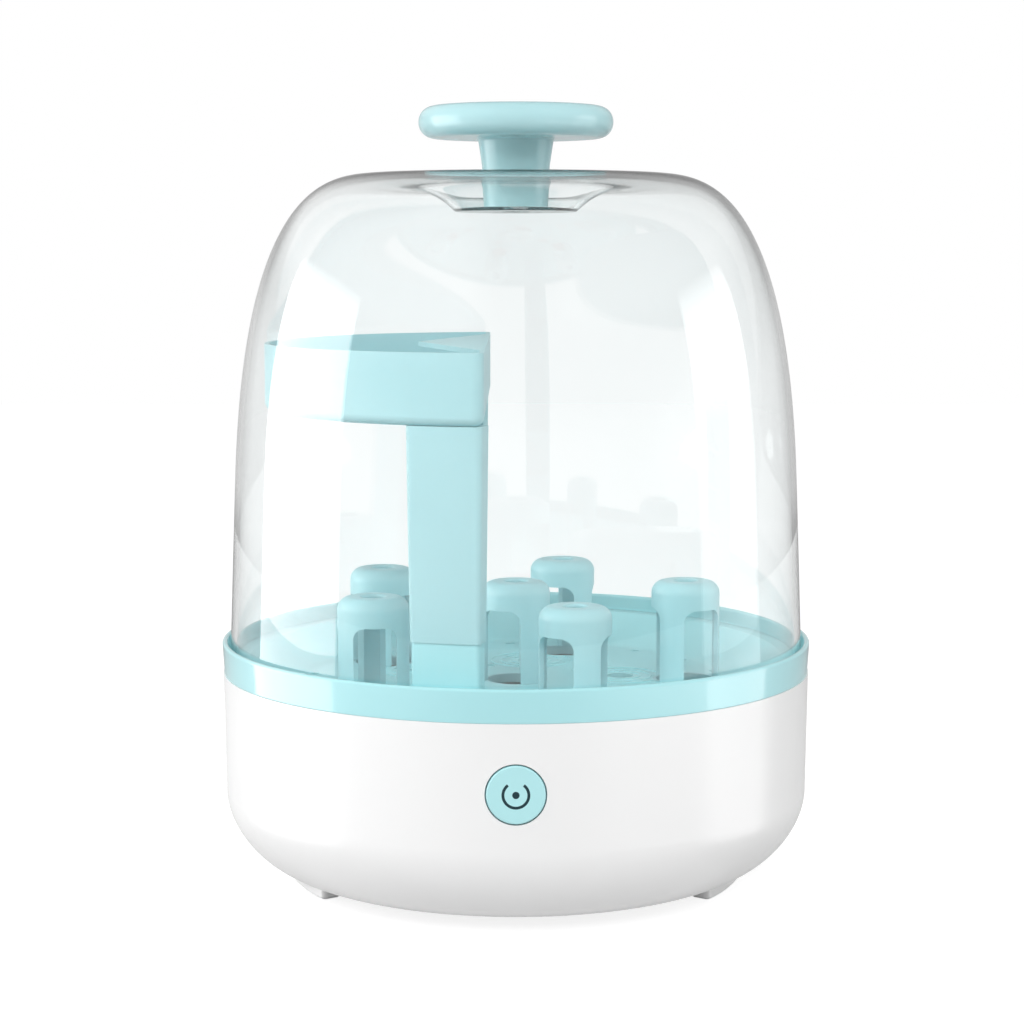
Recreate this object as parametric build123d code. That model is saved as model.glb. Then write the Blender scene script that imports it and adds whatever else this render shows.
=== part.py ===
from build123d import *
import math
import os

# An electric steam sterilizer for baby bottles. Millimetres, +Z up, the button faces -Y.
# The origin is on the table, on the axis that the base, the rack and the lid share.

# Overall sizes
rim_radius = 130.0  # the rack's rim, the widest part of the object
rim_height = 105.0  # top edge of the rim above the table
lid_height = 203.4  # the lid's crest above the rim
plastic_wall = 2.5  # wall of the shell, the rack and the lid
snap_gap = 0.3  # between plastic pieces that slide or snap into each other
thread_gap = 0.05  # between a screw and its pilot hole
close_gap = 0.1  # between pieces that are pushed together by hand

# Base shell: outer casing of the base
rim_band = 13.8  # height of the rack's rim that shows above the shell
shell_inset = 0.4  # the shell's top edge, inside the rim
shell_lean = 0.7  # the wall draws in by this much down to the corner
corner_width = 34.7
corner_height = 34.2
corner_fullness = 0.44  # handle of the corner's curve as a share of its sides
foot_height = 4.5
foot_width = 10.0
foot_reach = 7.0  # the feet's outer edge, beyond the flat of the underside
foot_arc = 28.0  # degrees
foot_round = 2.5
foot_middles = (22.0, 158.0, 202.0, 338.0)  # degrees
foot_root = 2.0  # the feet run this far up into the shell's wall
pad_height = 1.0
pad_margin = 1.0
pad_end_margin = 1.0  # degrees
opening_inset = 8.0  # the cover's opening, inside the flat of the underside
rib_wall = 2.0
wall_overlap = 0.4  # how far the button's collar and the board's posts run into the wall

# Bottom cover and its screws
cover_wall = 2.5
cover_pad_height = 2.0
cover_boss_inset = 6.0
cover_boss_radius = 4.5
cover_boss_height = 13.0
cover_stiffener_radius = 30.0
cover_stiffener_height = 3.0
cover_head_sink = 0.2  # the screw heads stop this far above the cover's underside
screw_shank = 1.45
screw_head = 2.9
screw_head_height = 2.0
screw_slot = 0.8  # width of the slot in a screw's head
screw_slot_reach = 0.8  # half the slot's length, as a share of the head's radius
pilot_roof = 1.0  # plastic left over a cover screw's pilot hole
tip_gap = 0.8  # from a screw's tip to the end of its hole

# Water pan
pan_seat_drop = 5.2  # the pan's ledge, below the shell's top edge
pan_ledge = 9.0
pan_wall = 2.0
pan_setback = 18.0  # the pan's mouth, inside the rim
pan_draft = 19.0  # how much narrower the pan is at its floor
pan_depth = 34.0
pan_mouth_round = 3.0
pan_floor_round = 10.0

# Heating plate, seal and clamp under the pan
plate_radius = 63.0
plate_wall = 1.2
seal_width = 6.0
seal_height = 1.5
clamp_wall = 1.5
clamp_setback = 6.0  # from the block's edge to the clamp's
clamp_boss_radius = 4.0
clamp_boss_rise = 4.0  # the screw bosses stand this far up from the pan's floor
clamp_boss_roof = 1.5  # the bosses are closed above their screws
block_radius = 45.0
block_height = 8.0
element_radius = 3.3
element_circle = 34.0
element_gap = 40.0  # degrees left open between the element's two ends
element_leg = 9.0
element_pin = 1.2
element_pin_length = 4.0
thermostat_radius = 8.5
thermostat_height = 7.0
thermostat_ear = 13.0  # from the middle to each screw
ear_radius = 3.5
ear_wall = 1.0
ear_pilot = 6.0
blade_offset = 4.0
blade_wall = 0.8
blade_width = 6.4
blade_length = 8.0
fuse_radius = 2.0
fuse_length = 14.0
fuse_offset = 19.0
fuse_lead_radius = 0.5
fuse_lead = 6.0
clip_wall = 0.6
clip_width = 6.0
clip_foot = 4.0

# Power button, its guide, its switch and the control board
button_height = 62.9
button_radius = 11.75
button_gap = 0.6
button_proud = 0.55
button_flange = 1.8
button_flange_wall = 1.2
button_travel = 1.2
button_edge = 0.7
plunger_radius = 2.2
guide_wall = 2.0
guide_depth = 9.0
guide_floor = 1.6
guide_setback = 0.5  # the guide's mouth, behind the flange's front
symbol_ring = 5.1  # middle of the symbol's open ring
symbol_stroke = 1.15
symbol_gap = 76.0  # degrees open at the ring's top
symbol_dot = 1.45
symbol_depth = 0.35
spring_wire = 0.4
spring_coil = 4.6
spring_turns = 4
board_depth = 15.6  # from the shell's inner wall back to the board
board_wall = 1.6
board_width = 50.0
board_low = 30.0
board_high = 78.0
board_post_radius = 3.0
board_post_inset = 3.5
board_pilot = 7.0
board_edge = 1.0  # from the board's lower edge to the relay and the terminal block
switch_side = 6.0
switch_height = 3.6
switch_pin = 1.7
switch_pin_proud = 2.6
switch_pin_length = 4.4
switch_spare = 0.15  # under the pin when the button is pressed home
relay_size = (18.0, 11.0, 9.0)
terminal_size = (30.0, 10.0, 10.0)
terminal_pitch = 10.0
terminal_hole_radius = 2.2
terminal_hole_depth = 3.0

# Power inlet at the back
inlet_drop = 6.3  # from the clamp under the pan down to the inlet's middle
inlet_width = 27.0
inlet_tall = 19.6
inlet_depth = 18.0
inlet_flange = 2.5
inlet_flange_wall = 2.0
inlet_socket_width = 24.0
inlet_socket_tall = 16.6
inlet_socket_depth = 15.0
inlet_recess = 9.0  # the flange lies this far inside the shell's outside
inlet_pocket_margin = 1.0
pin_spacing = 14.0
pin_offset = 2.0
pin_width = 4.0
pin_wall = 2.0
pin_setback = 3.0  # the pins' ends, inside the socket's mouth
tab_length = 8.0
wire_radius = 1.2
wire_level = 11.0  # the wires run this high above the bottom cover
wire_bend = 6.0
wire_layer = 4.0  # the lower layer of wires runs this far below the upper
wire_run = 24.0
wire_rise = 12.0  # horizontal length in which a wire climbs to its pin
wire_side = 18.0  # the live wire passes beside the heater's leg

# Bottle rack
rim_wall = 2.5
rim_lean = 0.8  # the rim draws in by this much down to its lower edge
lid_seat_drop = 7.0  # the ledge that the lid stands on, below the rim's top
lid_seat_width = 9.5
rack_floor_drop = 20.0
rack_slope = 22.0  # radial width of the dish's sloping side
skirt_width = 2.2
skirt_depth = 1.7
slot_count = 18
slot_circle_inset = 4.0
slot_size = (3.2, 4.6)
slot_start = 11.7  # degrees
under_low_shift = 0.6  # the bends of the dish's underside, outside those of its top
under_high_shift = 0.5
large_hole_radius = 5.9
large_hole_inset = 12.8  # from the pegs' inner edge to the middle of the holes
large_hole_start = 9.7
small_hole_radius = 2.5
small_hole_margin = 20.0  # from the centre peg to the middle of the holes
small_hole_start = 38.0
step_radii = (8.4, 13.2, 18.0)  # low ridges round each large hole
step_width = 1.2
step_height = 0.4

# Bottle pegs
peg_count = 5  # in a ring round the centre one
peg_start = 0.9  # degrees
centre_peg_turn = 61.0
peg_radius = 15.2
peg_margin = 5.1  # from a peg to the edge of the dish's floor
peg_height = 44.3
peg_wall = 2.2
peg_cap_wall = 2.4
peg_crown = 5.5
peg_cap_hole = 5.0
peg_window = 18.3
peg_window_drop = 11.8  # from the peg's top to the top of its windows
peg_window_corner = 5.0
peg_collar_wall = 1.2
peg_lip = 0.6
peg_lip_height = 1.4
peg_gap = 0.2  # between a peg's collar and its hole

# Accessory holder: a half-round tray on two posts
tray_setback = 20.0  # the tray's round side, inside the rim
tray_cut = 12.5  # its flat side, beside the axis
tray_above_rim = 101.0
tray_height = 29.2
tray_wall = 2.0
tray_corner = 4.0
tray_base_round = 3.8
grip_length = 172.0
grip_reach = 29.5
grip_wall = 2.0
grip_corner = 3.0
tray_slot_width = 3.5
tray_slot_pitch = 16.0
tray_slot_margin = 14.0
post_insets = (14.9, 17.5)  # from the tray's flat side to the middle of the front and the rear post
post_setback = 2.0  # the post's outer face, inside the tray's
post_depth = 11.0
post_width = 29.4
post_taper = 0.72  # degrees that each side leans outwards
post_edge = 1.8
post_wall = 2.2
post_ribs = 3
post_channel_margin = 6.0
socket_height = 13.8  # the socket's top above the rim
socket_wall = 2.4
socket_step = 0.5  # the socket's outside, inside the post's
tongue_length = 12.0
socket_spare = 1.5  # below the tongue
tab_width = 16.0
tab_depth = 4.0
tab_height = 4.5
tab_setback = 0.5

# Lid and its knob
lid_gap = 1.0  # all round, between the lid and the rim
lid_side = 77.4  # height of the lid's nearly straight side
lid_lean = 3.0  # the side draws in by this much
crest_radius = 60.1
crest_handle = 19.0
dish_radius = 25.4  # floor of the dish round the knob's stem
dish_depth = 13.0
dish_round = 27.5
vent_count = 5  # steam vents in the dish's floor, behind the stem
vent_circle = 20.0
vent_turn = 14.0
vent_radius = 1.6
boss_radius = 8.5
boss_height = 6.5
stem_foot = 14.0
stem_waist = 14.8
stem_top = 16.6
stem_waist_height = 16.6
stem_round = 30.0
knob_underside = 28.3  # above the dish's floor
knob_radius = 42.4
knob_height = 14.4
knob_edge = 6.6
knob_crown = 0.8
gasket_height = 1.0
washer_wall = 0.8
knob_screw_radius = 2.0
knob_screw_head = 3.8
knob_screw_head_height = 2.6
knob_pilot = 16.0

# Levels above the table and radii that several pieces share
shell_top = rim_height - rim_band
shell_radius = rim_radius - shell_inset
shell_low_radius = shell_radius - shell_lean
flat_radius = shell_low_radius - corner_width
opening_radius = flat_radius - opening_inset
corner_top = foot_height + corner_height
cover_top = foot_height + cover_wall
pan_seat = shell_top - pan_seat_drop
pan_top = pan_seat + pan_wall
pan_mouth = rim_radius - pan_setback
pan_floor = pan_top - pan_depth
pan_floor_radius = pan_mouth - pan_draft
plate_top = pan_floor - pan_wall - seal_height
plate_low = plate_top - plate_wall
clamp_low = plate_low - clamp_wall
clamp_boss_circle = plate_radius + clamp_boss_radius + 1
clamp_radius = clamp_boss_circle + clamp_boss_radius
clamp_boss_top = pan_floor + clamp_boss_rise
block_low = plate_low - block_height
inlet_height = clamp_low - inlet_drop
element_pin_low = block_low - element_leg - element_pin_length
rim_inner = rim_radius - rim_wall
lid_seat = rim_height - lid_seat_drop
lid_seat_inner = rim_inner - lid_seat_width
rack_floor = rim_height - rack_floor_drop
rack_floor_radius = lid_seat_inner - rack_slope
under_low = rack_floor_radius + under_low_shift
under_high = lid_seat_inner + under_high_shift
peg_collar = peg_radius - peg_wall + peg_collar_wall
peg_circle = rack_floor_radius - peg_margin - peg_radius
large_hole_circle = peg_circle - peg_radius - large_hole_inset
tray_radius = rim_radius - tray_setback
tray_low = rim_height + tray_above_rim
tray_top = tray_low + tray_height
post_outer = tray_radius - post_setback
post_middle = post_outer - post_depth / 2
post_turns = [math.degrees(math.acos((tray_cut + inset) / post_middle)) for inset in post_insets]
post_angles = (180 + post_turns[0], 180 - post_turns[1])
socket_top = rim_height + socket_height
lid_radius = rim_inner - lid_gap
crest = rim_height + lid_height
dish_floor = crest - dish_depth
dish_underside = dish_floor - plastic_wall
lid_shoulder = lid_seat + lid_side


def shell_radius_at(height):
    """Outer radius of the shell's nearly straight wall at a height."""
    share = (shell_top - height) / (shell_top - corner_top)
    return shell_radius - shell_lean * share


# The button, its guide and the board are placed by their distance in front of the axis.
shell_front = shell_radius_at(button_height)
board_front = shell_front - plastic_wall - board_depth
board_back = board_front - board_wall
inlet_face = shell_radius_at(inlet_height) - inlet_recess
inlet_back = inlet_face - inlet_flange_wall - inlet_depth
guide_inner = button_radius + button_flange + snap_gap
guide_outer = guide_inner + guide_wall
guide_back = shell_front - plastic_wall - guide_depth
terminal_z = board_low + board_edge + terminal_size[2] / 2


def turned(outline, radii=0.0):
    """A closed outline of (radius, height) points, with rounded corners, turned once about Z."""
    path = FilletPolyline(*[(r, 0, z) for r, z in outline], radius=radii, close=True)
    return revolve(make_face(path), Axis.Z)


def ring(inner, outer, low, high, x=0.0, y=0.0):
    """An upright tube between two heights, or a disc where the inner radius is 0."""
    section = Circle(outer) - Circle(inner) if inner else Circle(outer)
    return extrude(Pos(x, y, low) * section, high - low)


def front_ring(inner, outer, near, far, x=0.0, z=button_height):
    """A tube or disc that points to the front, between two distances from the axis."""
    plane = Plane(origin=(x, -near, z), x_dir=(1, 0, 0), z_dir=(0, -1, 0))
    section = Circle(outer) - Circle(inner) if inner else Circle(outer)
    return extrude(plane * section, far - near)


def block(x, y, z):
    """A box from three (low, high) pairs."""
    size = [high - low for low, high in (x, y, z)]
    middle = [(high + low) / 2 for low, high in (x, y, z)]
    return Pos(*middle) * Box(*size)


def polar(radius, degrees):
    """X and Y of a point at an angle round the axis."""
    return radius * math.cos(math.radians(degrees)), radius * math.sin(math.radians(degrees))


def sector(inner, outer, low, high, start, span):
    """A piece of an upright ring, from an angle and over a span in degrees."""
    outline = Polyline((inner, 0, low), (outer, 0, low), (outer, 0, high), (inner, 0, high), close=True)
    return Rot(0, 0, start) * revolve(make_face(outline), Axis.Z, span)


def screw(x, y, head_low, length, head=screw_head, shank=screw_shank, head_height=screw_head_height):
    """A pan-head screw that points up, with a straight slot in its head."""
    body = ring(0, head, head_low, head_low + head_height, x, y)
    body += ring(0, shank, head_low + head_height, head_low + head_height + length, x, y)
    long, wide = head * screw_slot_reach, screw_slot / 2
    slot = block((x - long, x + long), (y - wide, y + wide), (head_low, head_low + head_height / 2))
    return body - slot


def corner_curve(inset):
    """The base's lower corner as one smooth curve, moved in from the outside by an inset."""
    side = shell_low_radius - inset
    low = foot_height + inset
    width, height = side - flat_radius, corner_top - low
    keep = 1 - corner_fullness
    return Bezier(
        (side, 0, corner_top),
        (side, 0, low + height * keep),
        (flat_radius + width * keep, 0, low),
        (flat_radius, 0, low),
    )


def closed_turn(*edges):
    """Edges in the XZ plane that close on each other, turned once about Z."""
    return revolve(make_face(list(edges)), Axis.Z)


def base_envelope():
    """Everything inside the base's outer surface."""
    wall = Line((shell_radius, 0, shell_top), (shell_low_radius, 0, corner_top))
    rest = Polyline(
        (flat_radius, 0, foot_height), (0, 0, foot_height), (0, 0, shell_top), (shell_radius, 0, shell_top)
    )
    return closed_turn(wall, corner_curve(0), rest)


def cover_screw_places():
    return [polar(opening_radius - cover_boss_inset, a) for a in (45, 135, 225, 315)]


def board_screw_places():
    x = board_width / 2 - board_post_inset
    levels = (board_low + board_post_inset, board_high - board_post_inset)
    return [(side * x, z) for side in (-1, 1) for z in levels]


def base_shell():
    """White casing: outer wall, pan ledge, feet, screw bosses, button collar and inlet pocket."""
    inner_top = shell_radius - plastic_wall
    inner_low = shell_low_radius - plastic_wall
    outside = Line((shell_radius, 0, shell_top), (shell_low_radius, 0, corner_top))
    underside = Polyline(
        (flat_radius, 0, foot_height),
        (opening_radius, 0, foot_height),
        (opening_radius, 0, cover_top + cover_boss_height),
        (opening_radius + rib_wall, 0, cover_top + cover_boss_height),
        (opening_radius + rib_wall, 0, cover_top),
        (flat_radius, 0, foot_height + plastic_wall),
    )
    inside = Polyline(
        (inner_low, 0, corner_top),
        (shell_radius_at(pan_seat - pan_wall) - plastic_wall, 0, pan_seat - pan_wall),
        (inner_top - pan_ledge, 0, pan_seat - pan_wall),
        (inner_top - pan_ledge, 0, pan_seat),
        (inner_top, 0, pan_seat),
        (inner_top, 0, shell_top),
        (shell_radius, 0, shell_top),
    )
    shell = closed_turn(outside, corner_curve(0), underside, corner_curve(plastic_wall), inside)
    outer = flat_radius + foot_reach
    for middle in foot_middles:
        start = middle - foot_arc / 2
        foot = sector(outer - foot_width, outer, pad_height, foot_height + foot_root, start, foot_arc)
        shell += fillet(foot.edges().filter_by(Axis.Z), foot_round)
    for x, y in cover_screw_places():
        boss = ring(0, cover_boss_radius, cover_top + cover_pad_height, cover_top + cover_boss_height, x, y)
        angle = math.degrees(math.atan2(y, x))
        web = block(
            (opening_radius - cover_boss_inset, opening_radius + rib_wall / 2),
            (-rib_wall / 2, rib_wall / 2),
            (cover_top + cover_pad_height, cover_top + cover_boss_height),
        )
        shell += boss + Rot(0, 0, angle) * web
    pilot_top = cover_top + cover_boss_height - pilot_roof
    for x, y in cover_screw_places():
        shell -= ring(0, screw_shank + thread_gap, cover_top, pilot_top, x, y)
    collar = guide_outer + close_gap
    shell += front_ring(collar, collar + guide_wall, guide_back, shell_front - plastic_wall + wall_overlap)
    for x, z in board_screw_places():
        outer = math.sqrt(shell_radius_at(z) ** 2 - x**2) - plastic_wall + wall_overlap
        shell += front_ring(0, board_post_radius, board_front, outer, x, z)
        shell -= front_ring(0, screw_shank + thread_gap, board_front, board_front + board_pilot, x, z)
    shell -= front_ring(0, button_radius + button_gap, guide_back, rim_radius)
    half_x = inlet_width / 2 + inlet_flange + inlet_pocket_margin
    half_z = inlet_tall / 2 + inlet_flange + inlet_pocket_margin
    wall, seat = rib_wall, inlet_face - inlet_flange_wall
    shell += inlet_space(half_x + wall, half_z + wall, seat - wall) & base_envelope()
    shell -= inlet_space(half_x, half_z, seat)
    return shell - inlet_space(inlet_width / 2 + snap_gap, inlet_tall / 2 + snap_gap, seat - 2 * wall)


def inlet_space(half_x, half_z, near):
    """A box round the inlet's axis, from a distance behind the axis out past the shell."""
    return block((-half_x, half_x), (near, rim_radius), (inlet_height - half_z, inlet_height + half_z))


def bottom_cover():
    """Flat cover that closes the base from below, with a raised pad at each screw."""
    cover = ring(0, opening_radius - snap_gap, foot_height, cover_top)
    stiffener = cover_stiffener_radius + rib_wall
    cover += ring(cover_stiffener_radius, stiffener, cover_top, cover_top + cover_stiffener_height)
    sink = foot_height + cover_head_sink + screw_head_height
    for x, y in cover_screw_places():
        cover += ring(0, cover_boss_radius, cover_top, cover_top + cover_pad_height, x, y)
        cover -= ring(0, screw_head + snap_gap, foot_height, sink, x, y)
        cover -= ring(0, screw_shank + snap_gap, foot_height, cover_top + cover_pad_height, x, y)
    return cover


def cover_screws():
    head_low = foot_height + cover_head_sink
    length = cover_top + cover_boss_height - pilot_roof - tip_gap - head_low - screw_head_height
    return [screw(x, y, head_low, length) for x, y in cover_screw_places()]


def foot_pads():
    """Anti-slip pads stuck under the four moulded feet."""
    outer = flat_radius + foot_reach - pad_margin
    inner = outer - foot_width + 2 * pad_margin
    span = foot_arc - 2 * pad_end_margin
    pads = [sector(inner, outer, 0, pad_height, middle - span / 2, span) for middle in foot_middles]
    return [fillet(pad.edges().filter_by(Axis.Z), foot_round - pad_margin) for pad in pads]


def clamp_screw_places():
    return [polar(clamp_boss_circle, a) for a in (0, 90, 180, 270)]


def water_pan():
    """Round pan that holds the water, open in the middle over the heating plate."""
    hole = plate_radius - seal_width
    flange = shell_radius - plastic_wall - snap_gap
    slant = pan_wall * math.hypot(pan_draft, pan_depth) / pan_depth
    outline = [
        (flange, pan_seat),
        (flange, pan_top),
        (pan_mouth, pan_top),
        (pan_floor_radius, pan_floor),
        (hole, pan_floor),
        (hole, pan_floor - pan_wall),
        (pan_floor_radius + slant * 0.7, pan_floor - pan_wall),
        (pan_mouth + slant - pan_draft * pan_wall / pan_depth, pan_seat),
    ]
    pan = turned(outline, [0, 0.8, pan_mouth_round, pan_floor_round, 0.6, 0, pan_floor_round + 1, 1.0])
    for x, y in clamp_screw_places():
        pan += ring(0, clamp_boss_radius, plate_low, clamp_boss_top, x, y)
        pan -= ring(0, screw_shank + thread_gap, plate_low, clamp_boss_top - clamp_boss_roof, x, y)
    return pan


def plate_seal():
    """Silicone ring between the heating plate and the pan."""
    return ring(plate_radius - seal_width, plate_radius, plate_top, plate_top + seal_height)


def heating_plate():
    """Stainless disc that closes the pan's hole from below."""
    return ring(0, plate_radius, plate_low, plate_top)


def plate_clamp():
    """Steel ring that presses the plate up against its seal."""
    clamp = ring(block_radius + clamp_setback, clamp_radius, clamp_low, plate_low)
    for x, y in clamp_screw_places():
        clamp -= ring(0, screw_shank + snap_gap, clamp_low, plate_low, x, y)
    return clamp


def clamp_screws():
    head_low = clamp_low - screw_head_height
    length = clamp_boss_top - clamp_boss_roof - tip_gap - clamp_low
    return [screw(x, y, head_low, length) for x, y in clamp_screw_places()]


def element_ends():
    """Where the heating element's two legs come down, beside the front."""
    return [polar(element_circle, 270 + side * element_gap / 2) for side in (-1, 1)]


def heater_element():
    """Sheathed tube heater: most of a circle, with two legs and their pins."""
    circle = Plane.XZ * Pos(element_circle, block_low) * Circle(element_radius)
    body = Rot(0, 0, 270 + element_gap / 2) * revolve(circle, Axis.Z, 360 - element_gap)
    for x, y in element_ends():
        body += Pos(x, y, block_low) * Sphere(element_radius)
        body += ring(0, element_radius, block_low - element_leg, block_low, x, y)
        body += ring(0, element_pin, element_pin_low, block_low - element_leg, x, y)
    return body


def heater_block():
    """Cast aluminium disc that spreads the element's heat under the plate."""
    body = ring(0, block_radius, block_low, plate_low)
    groove = Plane.XZ * Pos(element_circle, block_low) * Circle(element_radius + thread_gap)
    body -= revolve(groove, Axis.Z)
    for side in (-1, 1):
        body -= ring(0, screw_shank + thread_gap, block_low, block_low + ear_pilot, side * thermostat_ear)
    return body


def thermostat():
    """Button thermostat against the middle of the block, with two ears and two blades."""
    low = block_low - thermostat_height
    body = ring(0, thermostat_radius, low, block_low)
    reach = thermostat_ear + ear_radius
    body += block((-reach, reach), (-ear_radius, ear_radius), (block_low - ear_wall, block_low))
    half = blade_wall / 2
    for side in (-1, 1):
        x = side * blade_offset
        body += block((x - half, x + half), (-blade_width / 2, blade_width / 2), (low - blade_length, low))
        body -= ring(0, screw_shank + snap_gap, block_low - ear_wall, block_low, side * thermostat_ear)
    return body


def thermostat_screws():
    head_low = block_low - ear_wall - screw_head_height
    length = ear_wall + ear_pilot - tip_gap
    return [screw(side * thermostat_ear, 0, head_low, length) for side in (-1, 1)]


def fuse_axis(x):
    level = block_low - fuse_radius - thread_gap
    return Plane(origin=(x, fuse_offset, level), x_dir=(0, 1, 0), z_dir=(1, 0, 0))


def thermal_fuse():
    """One-shot fuse that lies against the block, with its two leads."""
    half = fuse_length / 2
    body = extrude(fuse_axis(-half) * Circle(fuse_radius), fuse_length)
    leads = fuse_axis(-half - fuse_lead) * Circle(fuse_lead_radius)
    return body + extrude(leads, fuse_length + 2 * fuse_lead)


def fuse_clip():
    """Spring-steel saddle that holds the fuse to the block."""
    inner = fuse_radius + thread_gap
    outer = inner + clip_wall
    level = block_low - inner
    half = clip_width / 2
    saddle = extrude(fuse_axis(-half) * (Circle(outer) - Circle(inner)), clip_width)
    saddle &= block((-half, half), (fuse_offset - outer, fuse_offset + outer), (level - outer, level))
    for side in (-1, 1):
        near, far, end = (fuse_offset + side * reach for reach in (inner, outer, outer + clip_foot))
        wall = block((-half, half), sorted((near, far)), (level, block_low))
        foot = block((-half, half), sorted((near, end)), (block_low - clip_wall, block_low))
        saddle += wall + foot
    return saddle


def button_levels():
    """Distances from the axis: the cap's face, its flange's front and back."""
    face = shell_front + button_proud
    flange_radius = button_radius + button_flange
    flange_front = math.sqrt((shell_front - plastic_wall) ** 2 - flange_radius**2) - snap_gap
    return face, flange_front, flange_front - button_flange_wall


def switch_levels():
    """Distances from the axis: the switch's front, its pin's outer and inner end."""
    front = board_front + switch_height
    outer = front + switch_pin_proud
    return front, outer, outer - switch_pin_length


def symbol_solid():
    """An open ring with a dot in it, on the button's face."""
    face = button_levels()[0]
    inner, outer = symbol_ring - symbol_stroke / 2, symbol_ring + symbol_stroke / 2
    far = 2 * symbol_ring
    x, z = polar(far, 90 - symbol_gap / 2)
    wedge = Polyline((0, 0), (-x, z), (x, z), close=True)
    plane = Plane(origin=(0, symbol_depth - face, button_height), x_dir=(1, 0, 0), z_dir=(0, -1, 0))
    open_ring = front_ring(inner, outer, face - symbol_depth, face)
    open_ring -= extrude(plane * make_face(wedge), symbol_depth)
    return [open_ring, front_ring(0, symbol_dot, face - symbol_depth, face)]


def power_button():
    """Mint cap with a retaining flange and a plunger that reaches the switch."""
    face, flange_front, flange_back = button_levels()
    cap = front_ring(0, button_radius, flange_front, face)
    cap = fillet(cap.edges().filter_by(GeomType.CIRCLE).sort_by(Axis.Y)[0], button_edge)
    cap += front_ring(0, button_radius + button_flange, flange_back, flange_front)
    cap += front_ring(0, plunger_radius, switch_levels()[1], flange_back)
    for solid in symbol_solid():
        cap -= solid
    return cap


def button_guide():
    """Cup behind the button that guides its flange and carries its spring."""
    cup = front_ring(guide_inner, guide_outer, guide_back, button_levels()[1] - guide_setback)
    return cup + front_ring(plunger_radius + snap_gap, guide_outer, guide_back - guide_floor, guide_back)


def button_spring():
    """Return spring round the plunger, from the guide's floor to the button's flange."""
    low = guide_back + spring_wire + close_gap
    high = button_levels()[2] - spring_wire - close_gap
    path = Helix(pitch=(high - low) / spring_turns, height=high - low, radius=spring_coil)
    start = path @ 0
    section = Plane(origin=start, z_dir=path % 0) * Circle(spring_wire)
    coil = sweep(section, path=path)
    return Plane(origin=(0, -low, button_height), x_dir=(1, 0, 0), z_dir=(0, -1, 0)) * coil


def tact_switch():
    """Small square switch on the board, in front of the plunger."""
    front, _, inner = switch_levels()
    half = switch_side / 2
    body = block((-half, half), (-front, -board_front), (button_height - half, button_height + half))
    return body - front_ring(0, switch_pin + close_gap, inner - button_travel - switch_spare, front)


def switch_actuator():
    """The switch's pin, which moves with the button."""
    _, outer, inner = switch_levels()
    return front_ring(0, switch_pin, inner, outer)


def control_board():
    board = block((-board_width / 2, board_width / 2), (-board_front, -board_back), (board_low, board_high))
    for x, z in board_screw_places():
        board -= front_ring(0, screw_shank + snap_gap, board_back, board_front, x, z)
    return board


def board_screws():
    tip = board_front + board_pilot - tip_gap
    screws = []
    for x, z in board_screw_places():
        head = front_ring(0, screw_head, board_back - screw_head_height, board_back, x, z)
        screws.append(head + front_ring(0, screw_shank, board_back, tip, x, z))
    return screws


def relay():
    """Relay on the board's front, below the button's guide."""
    width, depth, tall = relay_size
    low = board_low + board_edge
    return block((-width / 2, width / 2), (-board_front - depth, -board_front), (low, low + tall))


def terminal_block():
    """Three-way wire terminal on the board's back, low down where the pan leaves room."""
    width, depth, tall = terminal_size
    low = board_low + board_edge
    body = block((-width / 2, width / 2), (-board_back, depth - board_back), (low, low + tall))
    for x in (-terminal_pitch, 0, terminal_pitch):
        body -= ring(0, terminal_hole_radius, low, low + terminal_hole_depth, x, depth / 2 - board_back)
    return body


def inlet_pin_places():
    half = pin_spacing / 2
    return [(-half, -pin_offset), (half, -pin_offset), (0, pin_offset)]


def power_inlet():
    """Three-pole inlet for a mains lead, set in the pocket at the back."""
    flange_x, flange_z = inlet_width / 2 + inlet_flange, inlet_tall / 2 + inlet_flange
    body = block(
        (-inlet_width / 2, inlet_width / 2),
        (inlet_back, inlet_face),
        (inlet_height - inlet_tall / 2, inlet_height + inlet_tall / 2),
    )
    body += block(
        (-flange_x, flange_x),
        (inlet_face - inlet_flange_wall, inlet_face),
        (inlet_height - flange_z, inlet_height + flange_z),
    )
    body -= block(
        (-inlet_socket_width / 2, inlet_socket_width / 2),
        (inlet_face - inlet_socket_depth, inlet_face),
        (inlet_height - inlet_socket_tall / 2, inlet_height + inlet_socket_tall / 2),
    )
    for pin in inlet_pins():
        body -= pin
    return body


def inlet_pins():
    """Three flat pins, each with a tab at the back for its wire."""
    pins = []
    for x, rise in inlet_pin_places():
        z = inlet_height + rise
        across, tall = (x - pin_wall / 2, x + pin_wall / 2), (z - pin_width / 2, z + pin_width / 2)
        pins.append(block(across, (inlet_back - tab_length, inlet_face - pin_setback), tall))
    return pins


def wire(*points):
    """A round insulated wire along straight runs joined by tangent arcs."""
    path = FilletPolyline(*points, radius=wire_bend)
    section = Plane(origin=path @ 0, z_dir=path % 0) * Circle(wire_radius)
    return sweep(section, path=path)


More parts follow.
